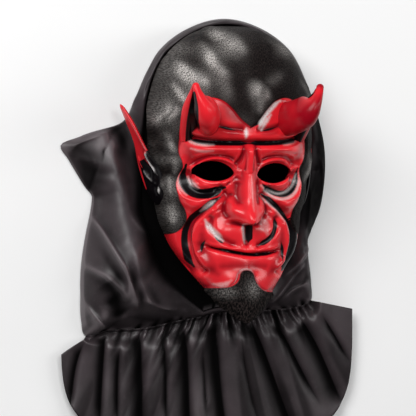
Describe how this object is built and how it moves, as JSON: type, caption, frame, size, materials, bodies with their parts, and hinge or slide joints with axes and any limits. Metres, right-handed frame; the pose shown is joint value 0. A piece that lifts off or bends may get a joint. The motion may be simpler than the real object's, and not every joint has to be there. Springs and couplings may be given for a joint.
{
  "type": "devil face mask",
  "caption": "moulded full-face devil mask with curved horns, pointed ear, modelled hair and goatee, sewn into a satin hood with a gathered shoulder ruffle, lying on its back",
  "frame": {"origin": "middle of the bounding box, on the surface that the part lies on", "axes": "+X to the viewer's right of the face, +Y up the face towards the crown, +Z out of the face, up from the floor"},
  "size_m": [0.2838, 0.405, 0.1375],
  "materials": {
    "moulding": "glossy red skin, black paint in the wrinkles, black textured hair",
    "satin": "black polyester satin with a soft sheen"
  },
  "bodies": {
    "root": {"mask_moulding": "moulding", "hood": "satin", "shoulder_ruffle": "satin"}
  },
  "joints": []
}
